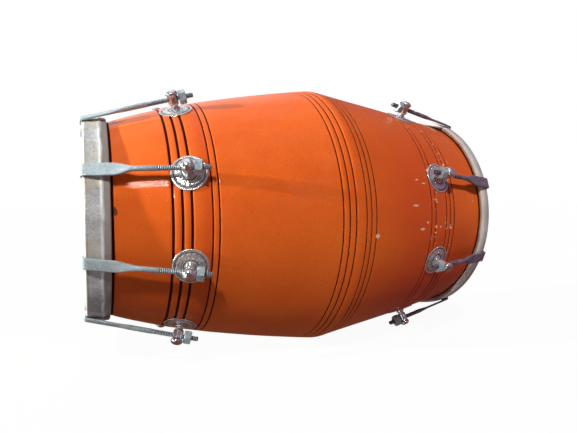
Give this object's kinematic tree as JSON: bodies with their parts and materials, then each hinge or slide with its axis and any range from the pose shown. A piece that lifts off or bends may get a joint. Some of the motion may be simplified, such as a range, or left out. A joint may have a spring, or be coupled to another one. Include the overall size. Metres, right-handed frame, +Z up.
{
  "type": "dholak",
  "caption": "Two-headed wooden barrel drum with hide heads on hoops, drawn tight by threaded hook bolts with nuts on chrome lugs at each end.",
  "frame": {"origin": "under the middle of the drum, on the surface that it lies on", "axes": "+X along the drum from the small treble head to the large bass head, +Z up, -Y towards the side that the picture shows"},
  "size_m": [0.432, 0.296, 0.296],
  "materials": {
    "lacquered_wood": "glossy orange lacquer",
    "hide": "raw hide, matt",
    "hoop_steel": "plain steel",
    "tuning_paste": "dark paste",
    "zinc_steel": "zinc plated, satin",
    "chrome": "polished"
  },
  "bodies": {
    "drum": {"shell": "lacquered_wood", "treble_hoop": "hoop_steel", "bass_hoop": "hoop_steel", "treble_head": "hide", "bass_head": "hide", "bass_tuning_paste": "tuning_paste", "treble_lug_1": "chrome", "treble_lug_2": "chrome", "treble_lug_3": "chrome", "treble_lug_4": "chrome", "treble_lug_5": "chrome", "treble_lug_6": "chrome", "treble_lug_7": "chrome", "treble_lug_8": "chrome", "bass_lug_1": "chrome", "bass_lug_2": "chrome", "bass_lug_3": "chrome", "bass_lug_4": "chrome", "bass_lug_5": "chrome", "bass_lug_6": "chrome", "bass_lug_7": "chrome", "bass_lug_8": "chrome"},
    "treble_nut_1": {"treble_nut_1": "zinc_steel"},
    "treble_hook_1": {"treble_hook_1": "zinc_steel"},
    "treble_nut_2": {"treble_nut_2": "zinc_steel"},
    "treble_hook_2": {"treble_hook_2": "zinc_steel"},
    "treble_nut_3": {"treble_nut_3": "zinc_steel"},
    "treble_hook_3": {"treble_hook_3": "zinc_steel"},
    "treble_nut_4": {"treble_nut_4": "zinc_steel"},
    "treble_hook_4": {"treble_hook_4": "zinc_steel"},
    "treble_nut_5": {"treble_nut_5": "zinc_steel"},
    "treble_hook_5": {"treble_hook_5": "zinc_steel"},
    "treble_nut_6": {"treble_nut_6": "zinc_steel"},
    "treble_hook_6": {"treble_hook_6": "zinc_steel"},
    "treble_nut_7": {"treble_nut_7": "zinc_steel"},
    "treble_hook_7": {"treble_hook_7": "zinc_steel"},
    "treble_nut_8": {"treble_nut_8": "zinc_steel"},
    "treble_hook_8": {"treble_hook_8": "zinc_steel"},
    "bass_nut_1": {"bass_nut_1": "zinc_steel"},
    "bass_hook_1": {"bass_hook_1": "zinc_steel"},
    "bass_nut_2": {"bass_nut_2": "zinc_steel"},
    "bass_hook_2": {"bass_hook_2": "zinc_steel"},
    "bass_nut_3": {"bass_nut_3": "zinc_steel"},
    "bass_hook_3": {"bass_hook_3": "zinc_steel"},
    "bass_nut_4": {"bass_nut_4": "zinc_steel"},
    "bass_hook_4": {"bass_hook_4": "zinc_steel"},
    "bass_nut_5": {"bass_nut_5": "zinc_steel"},
    "bass_hook_5": {"bass_hook_5": "zinc_steel"},
    "bass_nut_6": {"bass_nut_6": "zinc_steel"},
    "bass_hook_6": {"bass_hook_6": "zinc_steel"},
    "bass_nut_7": {"bass_nut_7": "zinc_steel"},
    "bass_hook_7": {"bass_hook_7": "zinc_steel"},
    "bass_nut_8": {"bass_nut_8": "zinc_steel"},
    "bass_hook_8": {"bass_hook_8": "zinc_steel"}
  },
  "joints": [
    {"name": "treble_hook_slide_1", "type": "slide", "parent": "drum", "child": "treble_hook_1", "axis": [-0.95, 0.1902, 0.2477], "range_m": [0, 0.0048]},
    {"name": "treble_nut_turn_1", "type": "hinge", "parent": "drum", "child": "treble_nut_1", "pos_m": [-0.124, -0.06451, 0.03254], "axis": [0.95, -0.1902, -0.2477], "range_deg": [0, 1152.5]},
    {"name": "treble_hook_slide_2", "type": "slide", "parent": "drum", "child": "treble_hook_2", "axis": [-0.9512, 0.2875, 0.1124], "range_m": [0, 0.0048]},
    {"name": "treble_nut_turn_2", "type": "hinge", "parent": "drum", "child": "treble_nut_2", "pos_m": [-0.12399, -0.12501, 0.10483], "axis": [0.9512, -0.2875, -0.1124], "range_deg": [0, 1152.5]},
    {"name": "treble_hook_slide_3", "type": "slide", "parent": "drum", "child": "treble_hook_3", "axis": [-0.9459, 0.3233, -0.0261], "range_m": [0, 0.0048]},
    {"name": "treble_nut_turn_3", "type": "hinge", "parent": "drum", "child": "treble_nut_3", "pos_m": [-0.12404, -0.1234, 0.19564], "axis": [0.9459, -0.3233, 0.0261], "range_deg": [0, 1152.5]},
    {"name": "treble_hook_slide_4", "type": "slide", "parent": "drum", "child": "treble_hook_4", "axis": [-0.9484, 0.1905, -0.2535], "range_m": [0, 0.0048]},
    {"name": "treble_nut_turn_4", "type": "hinge", "parent": "drum", "child": "treble_nut_4", "pos_m": [-0.12402, -0.05503, 0.26827], "axis": [0.9484, -0.1905, 0.2535], "range_deg": [0, 1152.5]},
    {"name": "treble_hook_slide_5", "type": "slide", "parent": "drum", "child": "treble_hook_5", "axis": [-0.9513, -0.1173, -0.2852], "range_m": [0, 0.0048]},
    {"name": "treble_nut_turn_5", "type": "hinge", "parent": "drum", "child": "treble_nut_5", "pos_m": [-0.12399, 0.05031, 0.27031], "axis": [0.9513, 0.1173, 0.2852], "range_deg": [0, 1152.5]},
    {"name": "treble_hook_slide_6", "type": "slide", "parent": "drum", "child": "treble_hook_6", "axis": [-0.9513, -0.288, -0.1104], "range_m": [0, 0.0048]},
    {"name": "treble_nut_turn_6", "type": "hinge", "parent": "drum", "child": "treble_nut_6", "pos_m": [-0.12399, 0.12349, 0.19535], "axis": [0.9513, 0.288, 0.1104], "range_deg": [0, 1152.5]},
    {"name": "treble_hook_slide_7", "type": "slide", "parent": "drum", "child": "treble_hook_7", "axis": [-0.9513, -0.2779, 0.1336], "range_m": [0, 0.0048]},
    {"name": "treble_nut_turn_7", "type": "hinge", "parent": "drum", "child": "treble_nut_7", "pos_m": [-0.12399, 0.11919, 0.09069], "axis": [0.9513, 0.2779, -0.1336], "range_deg": [0, 1152.5]},
    {"name": "treble_hook_slide_8", "type": "slide", "parent": "drum", "child": "treble_hook_8", "axis": [-0.9513, -0.0936, 0.2939], "range_m": [0, 0.0048]},
    {"name": "treble_nut_turn_8", "type": "hinge", "parent": "drum", "child": "treble_nut_8", "pos_m": [-0.12399, 0.04012, 0.02198], "axis": [0.9513, 0.0936, -0.2939], "range_deg": [0, 1152.5]},
    {"name": "bass_hook_slide_1", "type": "slide", "parent": "drum", "child": "bass_hook_1", "axis": [0.9557, -0.1064, 0.2743], "range_m": [0, 0.0048]},
    {"name": "bass_nut_turn_1", "type": "hinge", "parent": "drum", "child": "bass_nut_1", "pos_m": [0.14309, -0.047, 0.01347], "axis": [-0.9557, 0.1064, -0.2743], "range_deg": [0, 1152.5]},
    {"name": "bass_hook_slide_2", "type": "slide", "parent": "drum", "child": "bass_hook_2", "axis": [0.9771, 0.2098, 0.0357], "range_m": [0, 0.0048]},
    {"name": "bass_nut_turn_2", "type": "hinge", "parent": "drum", "child": "bass_nut_2", "pos_m": [0.12949, -0.13493, 0.09583], "axis": [-0.9771, -0.2098, -0.0357], "range_deg": [0, 1152.5]},
    {"name": "bass_hook_slide_3", "type": "slide", "parent": "drum", "child": "bass_hook_3", "axis": [0.9771, 0.1836, -0.1075], "range_m": [0, 0.0048]},
    {"name": "bass_nut_turn_3", "type": "hinge", "parent": "drum", "child": "bass_nut_3", "pos_m": [0.12949, -0.1369, 0.19477], "axis": [-0.9771, -0.1836, 0.1075], "range_deg": [0, 1152.5]},
    {"name": "bass_hook_slide_4", "type": "slide", "parent": "drum", "child": "bass_hook_4", "axis": [0.9781, 0.0989, -0.1831], "range_m": [0, 0.0048]},
    {"name": "bass_nut_turn_4", "type": "hinge", "parent": "drum", "child": "bass_nut_4", "pos_m": [0.12948, -0.06527, 0.2771], "axis": [-0.9781, -0.0989, 0.1831], "range_deg": [0, 1152.5]},
    {"name": "bass_hook_slide_5", "type": "slide", "parent": "drum", "child": "bass_hook_5", "axis": [0.9781, -0.0662, -0.1973], "range_m": [0, 0.0048]},
    {"name": "bass_nut_turn_5", "type": "hinge", "parent": "drum", "child": "bass_nut_5", "pos_m": [0.12948, 0.04605, 0.28514], "axis": [-0.9781, 0.0662, 0.1973], "range_deg": [0, 1152.5]},
    {"name": "bass_hook_slide_6", "type": "slide", "parent": "drum", "child": "bass_hook_6", "axis": [0.9781, -0.1869, -0.0915], "range_m": [0, 0.0048]},
    {"name": "bass_nut_turn_6", "type": "hinge", "parent": "drum", "child": "bass_nut_6", "pos_m": [0.12948, 0.12993, 0.2116], "axis": [-0.9781, 0.1869, 0.0915], "range_deg": [0, 1152.5]},
    {"name": "bass_hook_slide_7", "type": "slide", "parent": "drum", "child": "bass_hook_7", "axis": [0.9781, -0.1964, 0.0687], "range_m": [0, 0.0048]},
    {"name": "bass_nut_turn_7", "type": "hinge", "parent": "drum", "child": "bass_nut_7", "pos_m": [0.12948, 0.13655, 0.10024], "axis": [-0.9781, 0.1964, -0.0687], "range_deg": [0, 1152.5]},
    {"name": "bass_hook_slide_8", "type": "slide", "parent": "drum", "child": "bass_hook_8", "axis": [0.9781, -0.0891, 0.188], "range_m": [0, 0.0048]},
    {"name": "bass_nut_turn_8", "type": "hinge", "parent": "drum", "child": "bass_nut_8", "pos_m": [0.12948, 0.06196, 0.01728], "axis": [-0.9781, 0.0891, -0.188], "range_deg": [0, 1152.5]}
  ],
  "couplings": [
    {"joint": "treble_nut_turn_1", "follows": "treble_hook_slide_1", "rad_per_m": 4188.8},
    {"joint": "treble_nut_turn_2", "follows": "treble_hook_slide_2", "rad_per_m": 4188.8},
    {"joint": "treble_nut_turn_3", "follows": "treble_hook_slide_3", "rad_per_m": 4188.8},
    {"joint": "treble_nut_turn_4", "follows": "treble_hook_slide_4", "rad_per_m": 4188.8},
    {"joint": "treble_nut_turn_5", "follows": "treble_hook_slide_5", "rad_per_m": 4188.8},
    {"joint": "treble_nut_turn_6", "follows": "treble_hook_slide_6", "rad_per_m": 4188.8},
    {"joint": "treble_nut_turn_7", "follows": "treble_hook_slide_7", "rad_per_m": 4188.8},
    {"joint": "treble_nut_turn_8", "follows": "treble_hook_slide_8", "rad_per_m": 4188.8},
    {"joint": "bass_nut_turn_1", "follows": "bass_hook_slide_1", "rad_per_m": 4188.8},
    {"joint": "bass_nut_turn_2", "follows": "bass_hook_slide_2", "rad_per_m": 4188.8},
    {"joint": "bass_nut_turn_3", "follows": "bass_hook_slide_3", "rad_per_m": 4188.8},
    {"joint": "bass_nut_turn_4", "follows": "bass_hook_slide_4", "rad_per_m": 4188.8},
    {"joint": "bass_nut_turn_5", "follows": "bass_hook_slide_5", "rad_per_m": 4188.8},
    {"joint": "bass_nut_turn_6", "follows": "bass_hook_slide_6", "rad_per_m": 4188.8},
    {"joint": "bass_nut_turn_7", "follows": "bass_hook_slide_7", "rad_per_m": 4188.8},
    {"joint": "bass_nut_turn_8", "follows": "bass_hook_slide_8", "rad_per_m": 4188.8}
  ]
}
